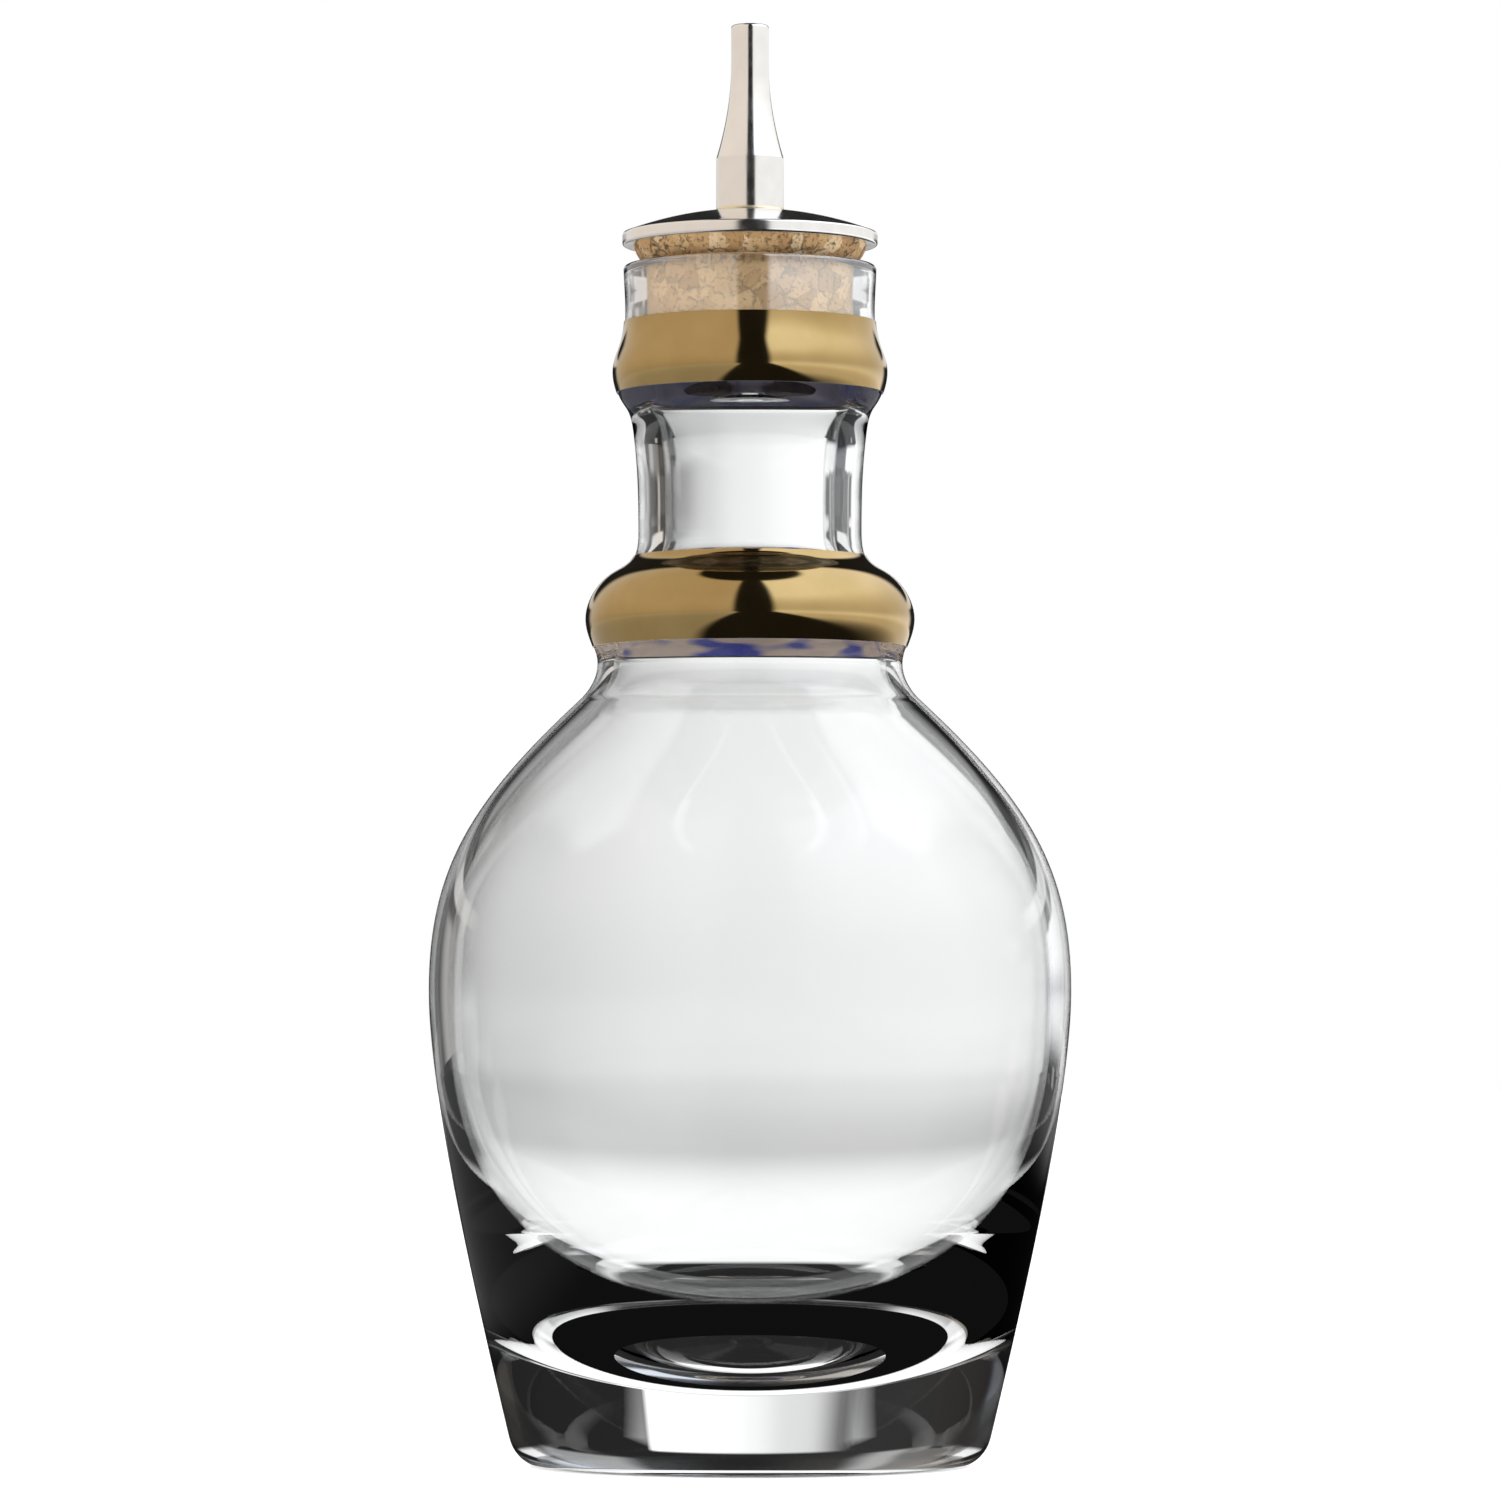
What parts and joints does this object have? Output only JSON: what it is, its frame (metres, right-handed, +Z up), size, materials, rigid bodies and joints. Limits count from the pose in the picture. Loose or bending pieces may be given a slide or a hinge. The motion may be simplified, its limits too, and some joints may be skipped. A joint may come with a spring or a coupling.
{
  "type": "bitters bottle",
  "caption": "Clear blown glass bitters bottle with a round belly, heavy foot and gilded neck beads, closed by a cork stopper with a domed metal cap and a tapered dasher spout.",
  "frame": {"origin": "centre of the foot, on the surface the bottle stands on", "axes": "+Z up along the axis that every piece is turned about; X and Y are free"},
  "size_m": [0.064, 0.064, 0.1442],
  "materials": {
    "clear_glass": "clear fire-polished glass",
    "gold_lustre": "bright fired gold lustre",
    "cork": "pressed cork granules, bare",
    "plated_metal": "polished warm silver plating",
    "braze": "brushed braze fillet",
    "clear_plastic": "clear moulded plastic"
  },
  "bodies": {
    "bottle": {"glass_bottle": "clear_glass", "lower_gold_band": "gold_lustre", "upper_gold_band": "gold_lustre"},
    "stopper": {"cork_stopper": "cork", "cap_disc": "plated_metal", "dasher_spout": "plated_metal", "braze_ring": "braze", "stem_tube": "plated_metal", "dash_insert": "clear_plastic"}
  },
  "joints": [
    {"name": "stopper_lift", "type": "slide", "parent": "bottle", "child": "stopper", "axis": [0, 0, 1], "range_m": [0, 0.04]}
  ]
}
